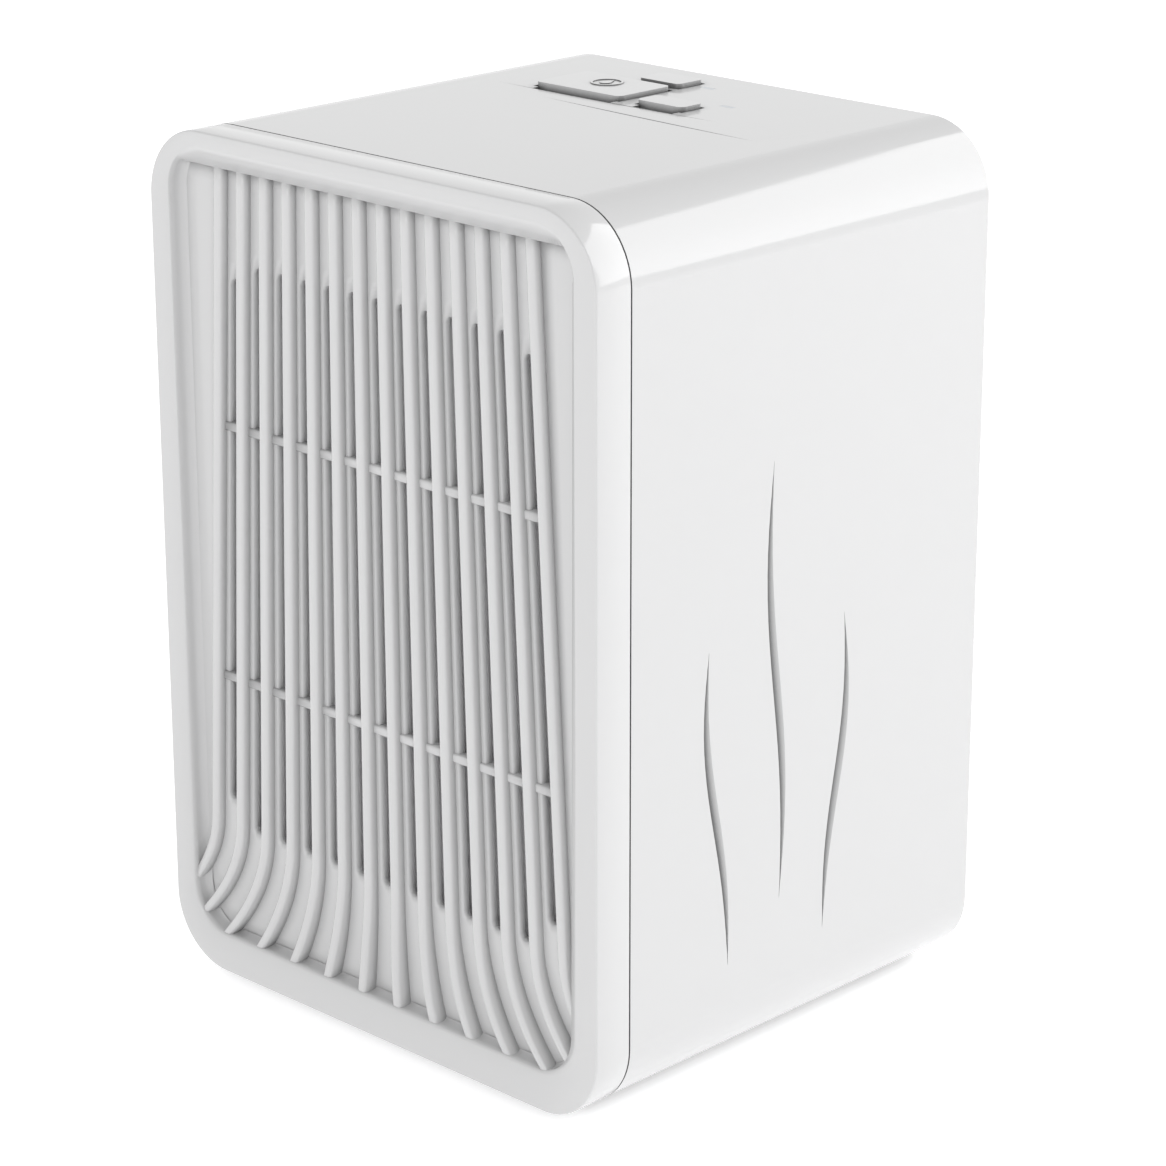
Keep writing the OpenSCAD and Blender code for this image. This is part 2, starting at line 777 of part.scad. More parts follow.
module hot_sink() {
    color([0.78, 0.79, 0.8])
    difference() {
        union() {
            block([-hot_w / 2, hot_face, stack_z - hot_h / 2],
                [hot_w / 2, hot_face + hot_base_t, stack_z + hot_h / 2]);
            for (i = [0 : hot_fins - 1])
                translate([lerp(-(hot_w - sink_fin_t) / 2, (hot_w - sink_fin_t) / 2, i / (hot_fins - 1)),
                    hot_face + hot_base_t - 1, stack_z - hot_h / 2])
                    translate([-sink_fin_t / 2, 0, 0]) cube([sink_fin_t, hot_fin_l + 1, hot_h]);
        }
        for (s = [-1, 1]) rod_y(s * clamp_x, hot_face - 1, hot_face + hot_base_t - 0.5, stack_z, bolt_r - 0.05);
    }
}

module clamp_bolts() {
    color([0.6, 0.6, 0.62])
    for (s = [-1, 1]) difference() {
        union() {
            rod_y(s * clamp_x, bolt_y, hot_face + hot_base_t - 1, stack_z, bolt_r);
            rod_y(s * clamp_x, bolt_y - 3, bolt_y, stack_z, bolt_head_r);
        }
        translate([s * clamp_x, bolt_y - 4, stack_z]) rotate([-90, 0, 0])
            cylinder(h = 2.6, r = 1.4, $fn = 6);
    }
}

module clamp_washers() {
    color([0.9, 0.9, 0.88])
    for (s = [-1, 1]) difference() {
        rod_y(s * clamp_x, bolt_y, cold_face - cold_base_t, stack_z, 3.4);
        rod_y(s * clamp_x, bolt_y - 1, cold_face, stack_z, bolt_r + 0.15);
    }
}

module fan_corners() {
    for (sx = [-1, 1], sz = [-1, 1])
        translate([sx * fan_screw_pitch / 2, 0, stack_z + sz * fan_screw_pitch / 2]) children();
}

module fan_frame() {
    color([0.13, 0.13, 0.14]) {
        difference() {
            union() {
                for (y = [fan_y, fan_back - 4])
                    along_y(y, y + 4) translate([0, stack_z]) round_rect(fan_size, fan_size, 4);
                rod_y(0, fan_y, fan_back, stack_z, fan_bore_r + 1.9);
            }
            rod_y(0, fan_y - 1, fan_back + 1, stack_z, fan_bore_r);
            fan_corners() rod_y(0, fan_y - 1, fan_back + 1, 0, 2.2);
        }
        // motor plate, its four arms and the bearing tube
        difference() {
            union() {
                rod_y(0, fan_back - 3, fan_back, stack_z, hub_r);
                for (a = [20 : 90 : 290])
                    translate([0, fan_back - 2.6, stack_z]) rotate([0, a, 0]) translate([hub_r - 2, 0, -2])
                        cube([fan_bore_r + 2.6 - hub_r, 2.2, 4]);
                rod_y(0, fan_y + 6, fan_back - 2, stack_z, bearing_r + 1.5);
            }
            rod_y(0, fan_y + 5, fan_back - 1.5, stack_z, bearing_r);
        }
    }
}

module fan_bearing() {
    color([0.72, 0.6, 0.35])
    difference() {
        rod_y(0, fan_y + 6, fan_back - 3, stack_z, bearing_r);
        rod_y(0, fan_y + 5, fan_back - 2, stack_z, shaft_r + 0.05);
    }
}

module fan_stator() {
    color([0.7, 0.4, 0.2])
    difference() {
        union() {
            rod_y(0, fan_back - 16, fan_back - 5, stack_z, 7);
            for (a = [0 : 90 : 270]) translate([0, fan_back - 14, stack_z]) rotate([0, a, 0])
                translate([4, 0, -3]) cube([8.5, 7, 6]);
        }
        rod_y(0, fan_back - 17, fan_back - 4, stack_z, bearing_r + 1.5);
    }
}

module fan_rotor() {
    color([0.16, 0.16, 0.17]) {
        difference() {
            rod_y(0, fan_y + 1.5, fan_back - 3.8, stack_z, hub_r);
            rod_y(0, fan_y + 3.5, fan_back, stack_z, hub_r - 1.3);
        }
        difference() {
            rod_y(0, fan_y + 3, fan_y + 5.5, stack_z, 3.6);
            rod_y(0, fan_y + 4.4, fan_y + 7, stack_z, shaft_r);
        }
        intersection() {
            difference() {
                rod_y(0, fan_y + 2, fan_back - 4.5, stack_z, rotor_r);
                rod_y(0, fan_y, fan_back, stack_z, hub_r - 0.4);
            }
            for (i = [0 : blade_count - 1])
                translate([0, (fan_y + fan_back) / 2 - 1.2, stack_z]) rotate([0, i * 360 / blade_count, 0])
                    rotate([38, 0, 0]) translate([hub_r - 1, -0.8, -15]) cube([rotor_r - hub_r + 3, 1.6, 30]);
        }
    }
}

module fan_magnet() {
    color([0.3, 0.3, 0.32])
    difference() {
        rod_y(0, fan_y + 5.5, fan_back - 4.6, stack_z, hub_r - 1.3);
        rod_y(0, fan_y + 5, fan_back, stack_z, hub_r - 3.3);
    }
}

module fan_shaft() {
    color([0.75, 0.75, 0.77])
    rod_y(0, fan_y + 4.4, fan_back - 2.6, stack_z, shaft_r);
}

module fan_screws() {
    color([0.7, 0.7, 0.72])
    fan_corners() {
        rod_y(0, fan_back, fan_back + 2, 0, 3.4);
        rod_y(0, fan_y - 9, fan_back + 0.5, 0, fan_screw_r);
    }
}

// Square duct from the bulkhead to the exhaust grille, with the fan's four bosses
module exhaust_duct() {
    color([0.55, 0.57, 0.6])
    difference() {
        union() {
            difference() {
                along_y(hot_face, duct_end) translate([0, stack_z])
                    round_rect(fan_size + 2 * duct_t + 2, fan_size + 2 * duct_t + 2, 5);
                along_y(hot_face - 1, duct_end + 1) translate([0, stack_z])
                    round_rect(fan_size + 2, fan_size + 2, 3.4);
            }
            intersection() {
                fan_corners() rod_y(0, hot_face, fan_y, 0, 3.6);
                along_y(hot_face, fan_y) translate([0, stack_z])
                    round_rect(fan_size + 3, fan_size + 3, 4);
            }
            for (sx = [-1, 1], sz = [-1, 1])
                translate([sx * (fan_size / 2 - 1), 0, stack_z + sz * (fan_size / 2 - 1)])
                    block([-2.5, hot_face, -2.5], [2.5, fan_y, 2.5]);
        }
        fan_corners() rod_y(0, hot_face + 3, fan_y + 1, 0, fan_screw_r - 0.05);
        rod_lead_hole();
    }
}

// Hole through the duct's right wall for the fan's lead
module rod_lead_hole() {
    block([fan_size / 2, fan_back - 12, stack_z - 28], [fan_size / 2 + duct_t + 2, fan_back - 6, stack_z - 22]);
}

// ---------- water side ----------

// Basin under the cold sink, with a channel to the spout over the tank
module drip_tray() {
    color([0.8, 0.82, 0.85])
    difference() {
        union() {
            block([-tray_w / 2, tray_y0, deck_top], [tray_w / 2, tray_y1, deck_top + tray_h]);
            block([-channel_w / 2 - 1.6, tray_y1 - 1, deck_top],
                [channel_w / 2 + 1.6, drip_y + drip_r + 1, deck_top + channel_h]);
            translate([0, drip_y, spout_z]) cylinder(h = deck_top - spout_z + 1, r = drip_r);
        }
        // the basin's floor falls towards the channel
        hull() {
            translate([-tray_w / 2 + 1.6, tray_y0 + 1.6, deck_top + 7]) cube([tray_w - 3.2, 0.1, tray_h]);
            translate([-tray_w / 2 + 1.6, tray_y1 - 1.7, deck_top + 4]) cube([tray_w - 3.2, 0.1, tray_h]);
            translate([-channel_w / 2, tray_y1 - 1.7, deck_top + 2.4]) cube([channel_w, 0.1, tray_h]);
        }
        block([-channel_w / 2, tray_y1 - 3, deck_top + 2.4],
            [channel_w / 2, drip_y + drip_r - 1, deck_top + channel_h + 1]);
        translate([0, drip_y, spout_z - 1]) cylinder(h = 20, r = drip_r - 2);
    }
}

// Tunnel that the tank slides into, closed at the front
module tank_bay() {
    color([0.6, 0.62, 0.65])
    difference() {
        union() {
            block([-bay_x - bay_wall, bay_front - bay_wall, bay_floor],
                [bay_x + bay_wall, bay_back, deck_z + 1]);
            block([-bay_x - 12, bay_front - bay_wall, deck_z], [bay_x + 12, bay_back, deck_top]);
            block([-bay_x - 12, bulk_y - 30, deck_z], [bay_x + 12, bay_front, deck_top]);
            // legs under the front of the deck
            for (s = [-1, 1]) block([s * 50 - 3, bulk_y - 30, z_low + wall], [s * 50 + 3, bay_front, deck_z + 1]);
        }
        block([-bay_x, bay_front, bay_floor + bay_wall], [bay_x, y_rear, deck_z]);
        translate([0, drip_y, deck_z - 1]) cylinder(h = deck_t + 2, r = drip_r + 0.5);
    }
}

module tank_shape(inset, z0, z1) {
    translate([0, (tank_front + tank_back) / 2, z0]) linear_extrude(z1 - z0)
        round_rect(tank_w - 2 * inset, tank_l - 2 * inset, tank_r - inset);
}

module water_tank() {
    color([0.75, 0.85, 0.9, 0.5])
    difference() {
        union() {
            tank_shape(0, tank_z, lid_z);
            // runners under the tank
            for (s = [-1, 1]) block([s * 44 - 2, tank_front + 8, bay_floor + bay_wall],
                [s * 44 + 2, tank_back - 8, tank_z + 1]);
        }
        tank_shape(tank_wall, tank_z + tank_wall, lid_z + 1);
    }
}

module tank_lid() {
    color([0.8, 0.82, 0.84])
    difference() {
        union() {
            tank_shape(0, lid_z, lid_z + lid_t);
            difference() {
                tank_shape(tank_wall + 0.1, lid_z - lid_skirt, lid_z + 1);
                tank_shape(tank_wall + 1.5, lid_z - lid_skirt - 1, lid_z);
            }
        }
        translate([0, drip_y, lid_z - 1]) cylinder(h = lid_t + 2, r = drip_hole_r);
        translate([pour_x, pour_y, lid_z - 1]) cylinder(h = lid_t + 2, r = pour_r);
    }
}

// Two guide pins with heads, on a bridge under the lid
module float_guide() {
    color([0.8, 0.82, 0.84]) {
        translate([float_x - float_l / 2, float_y - 4, lid_z - 1.6]) cube([float_l, 8, 1.6]);
        for (s = [-1, 1]) translate([float_x + s * float_pin_dx, float_y, 0]) {
            translate([0, 0, float_z - 1]) cylinder(h = lid_z - float_z, r = float_pin_r);
            translate([0, 0, float_z - 1 - pin_head_t]) cylinder(h = pin_head_t, r = pin_head_r);
        }
    }
}

module lid_stopper() {
    color([0.35, 0.4, 0.45])
    difference() {
        union() {
            translate([pour_x, pour_y, lid_z - 1.5]) cylinder(h = lid_t + 2, r = pour_r);
            translate([pour_x, pour_y, lid_z + lid_t]) cylinder(h = 1.2, r = pour_r + 2);
        }
        translate([pour_x, pour_y, lid_z - 2]) cylinder(h = lid_t + 1, r = pour_r - 2);
    }
}

// Rear face of the tank with the finger recess and the level slot
module tank_panel() {
    x = hatch_w / 2 - panel_gap;
    color([0.92, 0.92, 0.93])
    difference() {
        union() {
            block([-x, cover_back - panel_t, hatch_lo + panel_gap], [x, cover_back, hatch_hi - panel_gap]);
            block([-pull_w / 2 - 1.6, cover_back - pull_d - 1.6, pull_z - pull_h / 2 - 1.6],
                [pull_w / 2 + 1.6, cover_back, pull_z + pull_h / 2 + 1.6]);
            for (sx = [-1, 1], z = [hatch_lo + 8, hatch_hi - 16])
                block([sx * side_x - 1.5, tank_back, z], [sx * side_x + 1.5, cover_back - 1, z + 6]);
        }
        block([-pull_w / 2, cover_back - pull_d, pull_z - pull_h / 2],
            [pull_w / 2, cover_back + 1, pull_z + pull_h / 2]);
        block([window_x - window_w / 2 - 0.1, cover_back - 5, window_z - window_h / 2 - 0.1],
            [window_x + window_w / 2 + 0.1, cover_back + 1, window_z + window_h / 2 + 0.1]);
    }
}

module level_window() {
    color([0.7, 0.82, 0.88, 0.6]) {
        block([window_x - window_w / 2, cover_back - panel_t - 1, window_z - window_h / 2],
            [window_x + window_w / 2, cover_back - 0.2, window_z + window_h / 2]);
        block([window_x - window_w / 2 - 1.5, cover_back - panel_t - 1.5, window_z - window_h / 2 - 1.5],
            [window_x + window_w / 2 + 1.5, cover_back - panel_t, window_z + window_h / 2 + 1.5]);
    }
}

module float_body() {
    color([0.95, 0.6, 0.2])
    difference() {
        block([float_x - float_l / 2, float_y - float_w / 2, float_z],
            [float_x + float_l / 2, float_y + float_w / 2, float_z + float_t]);
        for (s = [-1, 1]) translate([float_x + s * float_pin_dx, float_y, float_z - 1])
            cylinder(h = float_t + 2, r = float_pin_r + 0.4);
        translate([float_x, float_y, float_z + float_t - 3]) cylinder(h = 4, r = 4);
    }
}

module float_magnet() {
    color([0.3, 0.3, 0.32])
    translate([float_x, float_y, float_z + float_t - 3]) cylinder(h = 3, r = 4);
}

module float_sensor() {
    color([0.1, 0.35, 0.2]) {
        block([float_x - 10, float_y - 6, deck_top], [float_x + 10, float_y + 6, deck_top + 1.6]);
        color([0.15, 0.15, 0.16])
            block([float_x - 4, float_y - 2, deck_top + 1.5], [float_x + 4, float_y + 2, deck_top + 4]);
    }
}

// ---------- power ----------

module power_board() {
    color([0.1, 0.35, 0.2])
    difference() {
        block([pboard_x, pb_y0, pb_z0], [pboard_x + pboard_t, pb_y1, pb_z1]);
        power_board_spots() translate([pboard_x - 1, 0, 0]) rotate([0, 90, 0]) cylinder(h = 4, r = 1.5);
    }
}

// Capacitors, coil, power transistor and sockets on the power board
module board_parts() {
    color([0.2, 0.22, 0.3]) {
        for (z = [pb_z0 + 40, pb_z0 + 53]) translate([pboard_x, 18, z]) rotate([0, -90, 0]) cylinder(h = 14, r = 5);
        translate([pboard_x, 38, pb_z0 + 46]) rotate([0, -90, 0]) cylinder(h = 9, r = 8);
        block([pboard_x - 12, 50, pb_z0 + 28], [pboard_x, 54, pb_z0 + 42]);
        for (p = lead_sockets)
            block([pboard_x - 5, p[0] - 4, p[1] - 3], [pboard_x, p[0] + 4, p[1] + 3]);
    }
}

module power_inlet() {
    color([0.12, 0.12, 0.13])
    difference() {
        union() {
            block([inlet_x - 6, inlet_back - inlet_l, inlet_z - 6], [pboard_x, inlet_back, inlet_z + 6]);
            rod_y(inlet_x, inlet_back - 1, cover_back - 0.4, inlet_z, inlet_nose_r);
        }
        rod_y(inlet_x, cover_back - 11, cover_back + 1, inlet_z, inlet_bore_r);
    }
}

module inlet_pin() {
    color([0.8, 0.8, 0.82]) rod_y(inlet_x, cover_back - 11, cover_back - 2, inlet_z, inlet_pin_r);
}

// Insulated wire through a list of points
module wire(points, r) {
    for (i = [0 : len(points) - 2]) hull() {
        translate(points[i]) sphere(r, $fn = 12);
        translate(points[i + 1]) sphere(r, $fn = 12);
    }
}

module peltier_leads() {
    color([0.75, 0.15, 0.12])
    for (k = [0, 1]) let (z = stack_z - 4.5 - 3 * k, s = lead_sockets[0])
        wire([[module_size / 2, cold_face + module_t / 2, z], [32, cold_face + module_t / 2, z],
            [35, cold_face - 1.5, z], [52.5, cold_face - 1.5, z], [55 , hot_face + 2, z],
            [55, s[0], z - 2], [pboard_x - 6.1, s[0], s[1] + 1.5 - 3 * k]], 1);
}

module fan_lead() {
    z = stack_z - 25;
    y = fan_back - 9;
    color([0.15, 0.15, 0.16])
        wire([[fan_size / 2 - 1.5, y, z], [fan_size / 2 + 6, y, z],
            [pboard_x - 6.1, lead_sockets[1][0], lead_sockets[1][1]]], 1);
}

module panel_lead() {
    color([0.8, 0.8, 0.82])
        wire([[20, 44, board_z - 1.4], [20, 44, board_z - 3.5], [50, 44, board_z - 4.5],
            [58, lead_sockets[2][0], lead_sockets[2][1] + 10], [pboard_x - 4, lead_sockets[2][0], lead_sockets[2][1] + 4.5]], 1.3);
}

module sensor_lead() {
    s = lead_sockets[3];
    color([0.8, 0.8, 0.82])
        wire([[float_x + 9.5, float_y, deck_top + 3], [40, float_y + 2, deck_top + 4],
            [56, s[0], deck_top + 8], [pboard_x - 6.1, s[0], s[1]]], 1);
}

body_shell();
front_panel();
filter_frame();
filter_mesh();
rear_cover();
cover_screws();
rubber_feet();
power_key();
power_plunger();
mode_key();
mode_plunger();
timer_key();
timer_plunger();
indicator_lenses();
control_board();
control_switches();
indicator_leds();
board_spacers();
board_screws();
bulkhead();
cold_sink();
foam_gasket();
peltier_module();
hot_sink();
clamp_bolts();
clamp_washers();
fan_frame();
fan_bearing();
fan_stator();
fan_rotor();
fan_magnet();
fan_shaft();
fan_screws();
exhaust_duct();
drip_tray();
tank_bay();
water_tank();
tank_lid();
float_guide();
lid_stopper();
tank_panel();
level_window();
float_body();
float_magnet();
float_sensor();
power_board();
board_parts();
power_inlet();
inlet_pin();
peltier_leads();
fan_lead();
panel_lead();
sensor_lead();
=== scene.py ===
import json
import math

import bmesh
import bpy
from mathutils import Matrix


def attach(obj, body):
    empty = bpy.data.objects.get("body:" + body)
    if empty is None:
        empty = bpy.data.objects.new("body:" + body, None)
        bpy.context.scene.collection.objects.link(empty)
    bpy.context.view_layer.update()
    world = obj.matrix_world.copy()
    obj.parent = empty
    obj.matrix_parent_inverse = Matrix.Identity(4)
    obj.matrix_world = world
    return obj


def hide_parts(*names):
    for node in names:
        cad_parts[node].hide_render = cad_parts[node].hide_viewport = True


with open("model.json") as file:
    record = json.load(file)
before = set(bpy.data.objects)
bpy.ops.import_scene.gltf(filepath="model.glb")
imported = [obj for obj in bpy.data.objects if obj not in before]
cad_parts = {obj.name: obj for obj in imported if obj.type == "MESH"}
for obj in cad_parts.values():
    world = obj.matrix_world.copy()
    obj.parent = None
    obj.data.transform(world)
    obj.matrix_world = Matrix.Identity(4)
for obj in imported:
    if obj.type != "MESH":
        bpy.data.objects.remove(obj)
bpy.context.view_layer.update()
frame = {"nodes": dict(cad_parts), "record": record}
nodes = frame["nodes"]

MM = 0.001
BODY_H = 0.218
BODY_MID = 0.111

# Main camera, as solved for this housing: place in body heights from the housing's middle
CAMERA_AT = (2.8275, -2.8871, 1.332)
CAMERA_YAW = 44.1484
CAMERA_PITCH = 18.6792
CAMERA_ROLL = 0.0857
CAMERA_LENS = 114.99
CAMERA_SENSOR = 36.0

# Studio: radiance of both softboxes, of the sky at the horizon and overhead, and of the floor itself
SOFTBOX = 2.8
FILL = 1.8
SKY_LEVELS = (1.06, 0.76)
SKY_BAND = (0.08, 0.55)
FLOOR_GLOW = 0.38
FLOOR_HALF = 6.0

# Surfaces: noise scales, bump height in metres, reach of the shade painted into crevices and its band of
# openness
DRIFT_SCALE, FINE_SCALE, GRAIN_SCALE = 20.0, 400.0, 2500.0
BUMP_HEIGHT = 0.00005
PAINTED_SHADE_REACH = 0.003
PAINTED_SHADE_BAND = (0.6, 0.94)
PLASTIC_IOR = 1.5
CAD_SMOOTH = 32


def noise(nt, vector, scale, detail):
    """Noise texture that reads the object's own coordinates."""
    node = nt.nodes.new("ShaderNodeTexNoise")
    node.inputs["Scale"].default_value = scale
    node.inputs["Detail"].default_value = detail
    nt.links.new(vector, node.inputs["Vector"])
    return node.outputs["Fac"]


def painted_crevice_shade(nt, color, painted_shade):
    """Colour with shade painted in: darkened by up to the given amount in narrow hollows, where ambient
    occlusion falls.
    """
    hollow = nt.nodes.new("ShaderNodeAmbientOcclusion")
    hollow.samples = 8
    hollow.inputs["Distance"].default_value = PAINTED_SHADE_REACH
    shade = nt.nodes.new("ShaderNodeMapRange")
    shade.inputs["From Min"].default_value, shade.inputs["From Max"].default_value = PAINTED_SHADE_BAND
    shade.inputs["To Min"].default_value = 1 - painted_shade
    nt.links.new(hollow.outputs["AO"], shade.inputs["Value"])
    dark = nt.nodes.new("ShaderNodeVectorMath")
    dark.operation = "SCALE"
    nt.links.new(color, dark.inputs[0])
    nt.links.new(shade.outputs[0], dark.inputs["Scale"])
    return dark.outputs[0]


def surface(name, color, rough, metal=0.0, vary=0.02, rough_vary=0.05, bump=0.02,
            bump_scale=GRAIN_SCALE, transmission=0.0, stretch=(1, 1, 1), painted_shade=0.0):
    """Procedural material: colour and roughness drift, fine bump and shade painted into crevices."""
    mat = bpy.data.materials.new(name)
    mat.use_nodes = True
    nt = mat.node_tree
    bsdf = nt.nodes["Principled BSDF"]
    coord = nt.nodes.new("ShaderNodeTexCoord")
    mapping = nt.nodes.new("ShaderNodeMapping")
    mapping.inputs["Scale"].default_value = stretch
    nt.links.new(coord.outputs["Object"], mapping.inputs["Vector"])
    drift = noise(nt, mapping.outputs["Vector"], DRIFT_SCALE, 4)
    grain = noise(nt, mapping.outputs["Vector"], bump_scale, 3)
    fine = noise(nt, mapping.outputs["Vector"], FINE_SCALE, 5)
    tint = nt.nodes.new("ShaderNodeMix")
    tint.data_type = "RGBA"
    tint.inputs[6].default_value = [c * (1 - vary) for c in color] + [1]
    tint.inputs[7].default_value = [min(1, c * (1 + vary)) for c in color] + [1]
    nt.links.new(drift, tint.inputs[0])
    out = tint.outputs[2]
    # painted shade: base colour is darkened wherever ambient occlusion finds a narrow hollow
    if painted_shade > 0:
        out = painted_crevice_shade(nt, out, painted_shade)
    nt.links.new(out, bsdf.inputs["Base Color"])
    polish = nt.nodes.new("ShaderNodeMapRange")
    polish.inputs["To Min"].default_value = max(0.02, rough - rough_vary)
    polish.inputs["To Max"].default_value = min(1.0, rough + rough_vary)
    nt.links.new(fine, polish.inputs["Value"])
    nt.links.new(polish.outputs[0], bsdf.inputs["Roughness"])
    relief = nt.nodes.new("ShaderNodeBump")
    relief.inputs["Strength"].default_value = bump
    relief.inputs["Distance"].default_value = BUMP_HEIGHT
    nt.links.new(grain, relief.inputs["Height"])
    nt.links.new(relief.outputs["Normal"], bsdf.inputs["Normal"])
    bsdf.inputs["Metallic"].default_value = metal
    bsdf.inputs["IOR"].default_value = PLASTIC_IOR
    bsdf.inputs["Transmission Weight"].default_value = transmission
    return mat


def smooth_by_angle(obj, degrees):
    for p in obj.data.polygons:
        p.use_smooth = True
    for o in bpy.context.selected_objects:
        o.select_set(False)
    bpy.context.view_layer.objects.active = obj
    obj.select_set(True)
    bpy.ops.object.shade_auto_smooth(angle=math.radians(degrees))
    obj.select_set(False)


# The panel's fins stand close together, so less shade is painted into its crevices than into the shell's
# lines
GLOSS = {"vary": 0.006, "rough_vary": 0.02, "bump": 0.004}
PANEL = surface("white_panel", (0.585, 0.585, 0.587), 0.1, painted_shade=0.1, **GLOSS)
MATS = {
    # shell and keys: strong painted shade in grooves, key gaps and seams
    "white_shell": surface("white_shell", (0.585, 0.585, 0.587), 0.1, painted_shade=0.75, **GLOSS),
    "white_keys": surface("white_keys", (0.6, 0.6, 0.602), 0.12, painted_shade=0.75, **GLOSS),
    "dark_moulding": surface("dark_moulding", (0.72, 0.72, 0.725), 0.5, bump=0.1),
    "mesh_black": surface("mesh_black", (0.85, 0.85, 0.855), 0.7, bump=0.3),
    "grey_moulding": surface("grey_moulding", (0.45, 0.47, 0.5), 0.5, bump=0.1),
    "clear_plastic": surface("clear_plastic", (0.75, 0.85, 0.9), 0.08, transmission=0.9, vary=0.01,
                             rough_vary=0.02),
    "clear_lens": surface("clear_lens", (0.8, 0.85, 0.9), 0.15, transmission=0.4),
    "rubber_feet": surface("rubber_feet", (0.05, 0.05, 0.052), 0.75, bump=0.3),
    "foam": surface("foam", (0.04, 0.04, 0.042), 0.9, bump=0.8, bump_scale=1500),
    "steel": surface("steel", (0.62, 0.62, 0.64), 0.3, metal=1.0),
    "shaft_steel": surface("shaft_steel", (0.7, 0.7, 0.71), 0.18, metal=1.0),
    "aluminium_sink": surface("aluminium_sink", (0.78, 0.79, 0.8), 0.35, metal=1.0, stretch=(1, 1, 0.05)),
    "ceramic_plates": surface("ceramic_plates", (0.88, 0.88, 0.86), 0.45),
    "bronze": surface("bronze", (0.65, 0.45, 0.22), 0.4, metal=1.0),
    "copper_coil": surface("copper_coil", (0.7, 0.32, 0.14), 0.3, metal=1.0),
    "ferrite": surface("ferrite", (0.06, 0.06, 0.065), 0.6),
    "board_green": surface("board_green", (0.03, 0.22, 0.1), 0.35),
    "component_black": surface("component_black", (0.03, 0.03, 0.033), 0.4, bump=0.1),
    "float_foam": surface("float_foam", (0.85, 0.33, 0.06), 0.7, bump=0.4),
    "nickel_pin": surface("nickel_pin", (0.75, 0.74, 0.72), 0.15, metal=1.0),
    "wire_red": surface("wire_red", (0.6, 0.04, 0.03), 0.4),
    "wire_black": surface("wire_black", (0.03, 0.03, 0.03), 0.4),
    "wire_grey": surface("wire_grey", (0.5, 0.5, 0.52), 0.4),
}

slots = {s["node"]: s["material_slot"] for s in frame["record"]["subparts"]}
for name, obj in nodes.items():
    obj.data.materials.clear()
    obj.data.materials.append(MATS[slots[name]])
    smooth_by_angle(obj, CAD_SMOOTH)

# Housing sizes in millimetres, the same as the CAD's
BODY_W, BODY_TALL = 150.0, 218.0
FOOT = 2.0
CORNER_R = 18.0
Y_FRONT = -68.0
BEZEL_BACK = -56.95
BEZEL_ROUND = 0.5
OPEN_W = BODY_W - 2 * 6.7
OPEN_LO, OPEN_HI = FOOT + 10.0, FOOT + BODY_TALL - 3.8
OPEN_R = 12.0
LIP_OUT, LIP_DEPTH = 0.5, 0.6
LIP_IN, LIP_IN_RIGHT = 0.25, 2.0
FIN_COUNT = 14
PITCH_TOP, PITCH_FROM = 8.07, 210
PITCH_SPREAD = 0.0084
PITCH_CURL, PITCH_CURL_FROM = 0.0033, FOOT + 40
FIN_FLAT, FIN_W = 1.7, 3.0
FIN_BEVEL = 0.5
FIN_DRAFT = 0.1
FIN_ROOT = 0.8
FIN_STEPS = 60
FIN_DEEP, FIN_PROUD = 2.0, 0.7
FIN_CURL = FOOT + 42.0
FIN_TOP = OPEN_HI - 4.6
DISH_Y = Y_FRONT + 4.4
COVE, LEDGE = 2.2, 0.7
LIP_FADE, LIP_LEAST = 8.0, 0.06
SLOT_W = 3.4
SLOT_LO, SLOT_HI = FOOT + 39.0, FOOT + 186.4
EDGE_SLOT_LO, EDGE_SLOT_HI = SLOT_LO + 7.0, SLOT_HI - 4.0
BAR_Z = (FOOT + 144.9, FOOT + 79.4)
BAR_H = 2.2
BAR_RISE = 0.6
BAR_CHAMFER = 0.3
PLATE_T = 2.0
TROUGH_SAG = 0.4
HIDDEN = 1.6
CORNER_STEPS = 20


def fin_pitch(z):
    return PITCH_TOP + PITCH_SPREAD * (PITCH_FROM - z) + PITCH_CURL * max(0.0, PITCH_CURL_FROM - z) ** 2


def fin_front(z):
    """Depth of a fin's front: it comes forward where the fin curls outwards at the bottom."""
    t = min(1.0, max(0.0, (FIN_CURL - z) / (FIN_CURL - OPEN_LO)))
    return Y_FRONT + FIN_DEEP + (FIN_PROUD - FIN_DEEP) * t * t * (3 - 2 * t)


def fin_x(k, z):
    """Place across of fin line k, counted from the left; half values are the gaps between fins."""
    return (k - (FIN_COUNT - 1) / 2) * fin_pitch(z)


def inside(x):
    """Keeps what runs under the bezel within it."""
    limit = OPEN_W / 2 + HIDDEN
    return min(limit, max(-limit, x))


def mesh_object(name, verts, faces, mat, smooth=35.0, weld=True):
    data = bpy.data.meshes.new(name)
    data.from_pydata([[c * MM for c in v] for v in verts], [], faces)
    obj = bpy.data.objects.new(name, data)
    bpy.context.scene.collection.objects.link(obj)
    bm = bmesh.new()
    bm.from_mesh(data)
    if weld:
        bmesh.ops.remove_doubles(bm, verts=bm.verts, dist=1e-6)
    bmesh.ops.recalc_face_normals(bm, faces=bm.faces)
    bm.to_mesh(data)
    bm.free()
    data.materials.append(mat)
    smooth_by_angle(obj, smooth)
    return obj


def rounded_loop(w, h, r, z_mid):
    """Points of a rounded rectangle in X and Z, the same number for every size."""
    pts = []
    for sx, sz, start in ((1, 1, 0), (-1, 1, 90), (-1, -1, 180), (1, -1, 270)):
        for i in range(CORNER_STEPS + 1):
            a = math.radians(start + 90 * i / CORNER_STEPS)
            pts.append((sx * (w / 2 - r) + r * math.cos(a), z_mid + sz * (h / 2 - r) + r * math.sin(a)))
    return pts


